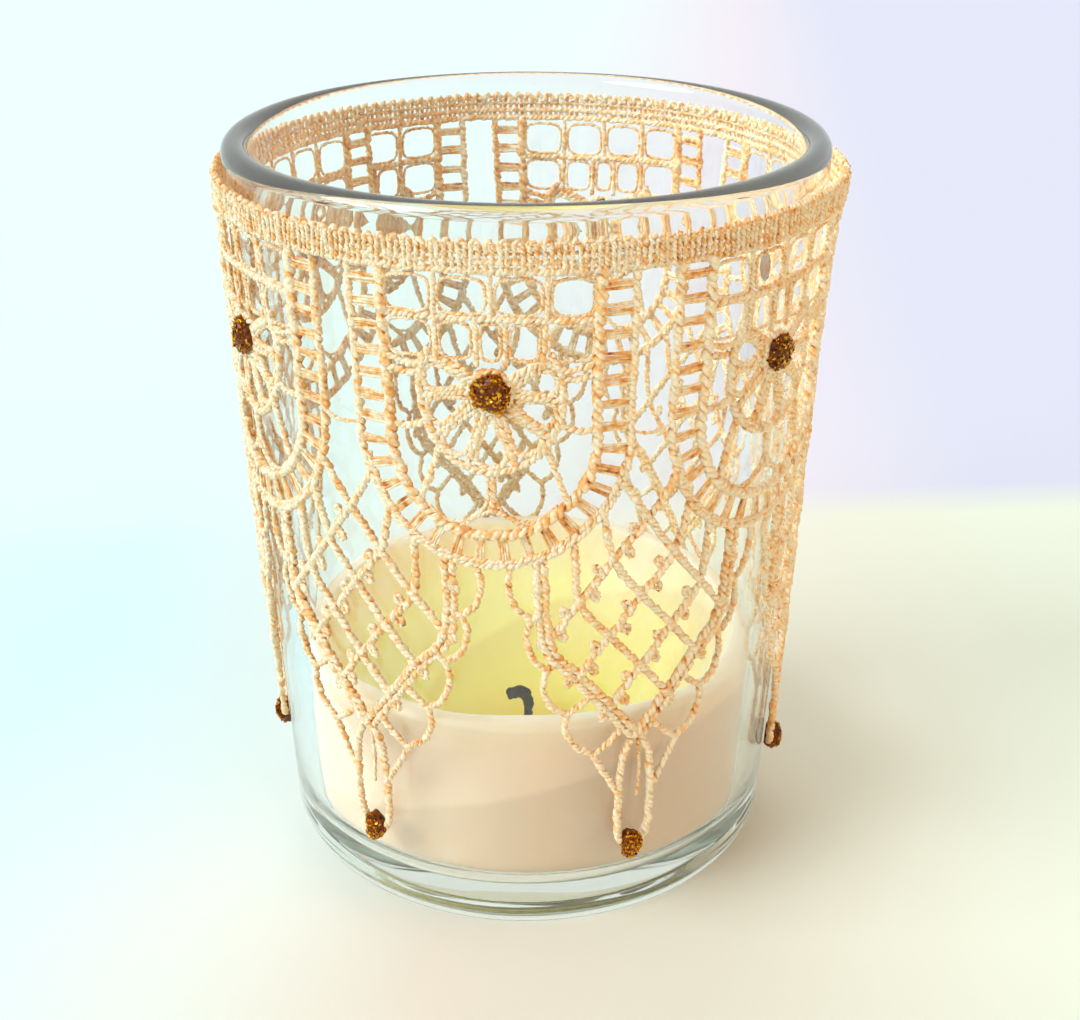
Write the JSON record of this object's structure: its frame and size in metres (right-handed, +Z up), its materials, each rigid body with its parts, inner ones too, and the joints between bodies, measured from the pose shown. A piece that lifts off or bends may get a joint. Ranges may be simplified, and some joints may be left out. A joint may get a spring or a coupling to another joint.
{
  "type": "lace-wrapped glass candle holder",
  "caption": "Tapered clear glass candle holder wrapped in a band of cream guipure lace with gold glitter-glue dots, holding a part-burnt white candle that lifts out.",
  "frame": {"origin": "centre of the foot of the glass, on the surface it stands on", "axes": "+Z up along the axis of the glass, -Y towards the front medallion of the lace, +X to the right of it"},
  "size_m": [0.0668, 0.0678, 0.084],
  "materials": {
    "clear_glass": "fire-polished pressed soda-lime glass, faint green",
    "cream_lace": "twisted cotton cord, matte",
    "white_wax": "paraffin wax, soft satin",
    "tab_tin": "stamped tinplate",
    "wick_cotton": "braided cotton, charred at the tip",
    "glitter_glue": "dried glitter glue, gold flakes in amber"
  },
  "bodies": {
    "cup": {"glass_cup": "clear_glass", "lace_band": "cream_lace", "medallion_dot_1": "glitter_glue", "medallion_dot_2": "glitter_glue", "medallion_dot_3": "glitter_glue", "medallion_dot_4": "glitter_glue", "medallion_dot_5": "glitter_glue", "medallion_dot_6": "glitter_glue", "tip_dot_1": "glitter_glue", "tip_dot_2": "glitter_glue", "tip_dot_3": "glitter_glue", "tip_dot_4": "glitter_glue", "tip_dot_5": "glitter_glue", "tip_dot_6": "glitter_glue"},
    "candle": {"candle_wax": "white_wax", "wick_tab": "tab_tin", "wick": "wick_cotton"}
  },
  "joints": [
    {"name": "candle_lift", "type": "slide", "parent": "cup", "child": "candle", "axis": [0, 0, 1], "range_m": [0, 0.09]}
  ]
}
